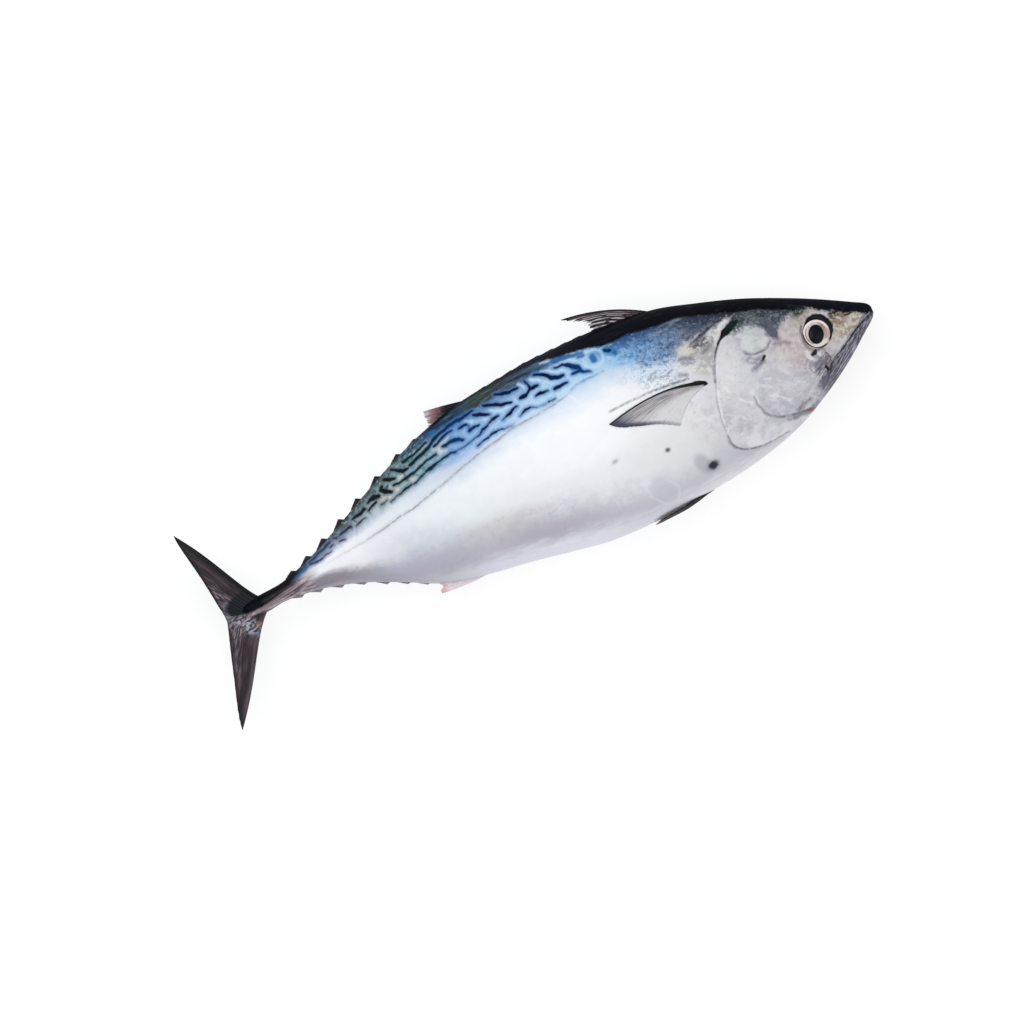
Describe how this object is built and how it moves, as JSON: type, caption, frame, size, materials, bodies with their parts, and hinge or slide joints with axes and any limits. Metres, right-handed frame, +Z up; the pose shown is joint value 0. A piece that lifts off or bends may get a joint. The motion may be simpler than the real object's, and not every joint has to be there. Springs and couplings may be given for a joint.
{
  "type": "whole fresh tuna",
  "caption": "Whole small fresh tuna, uncut, lying on its left side: dark blue back, silver flank, forked tail and small finlets.",
  "frame": {"origin": "on the surface that the fish lies on, under the centre of its bounding box", "axes": "+X from the tail to the snout, +Y from the belly to the back, +Z up, from the left flank that it lies on to the right flank that shows"},
  "size_m": [0.4724, 0.1482, 0.0808],
  "materials": {
    "fish_skin": "wet satin skin, blue-black back and silver-white flank",
    "eye": "wet gloss, black pupil in a cream ring"
  },
  "bodies": {
    "root": {"fish": "fish_skin", "eye_right": "eye", "eye_left": "eye"}
  },
  "joints": []
}
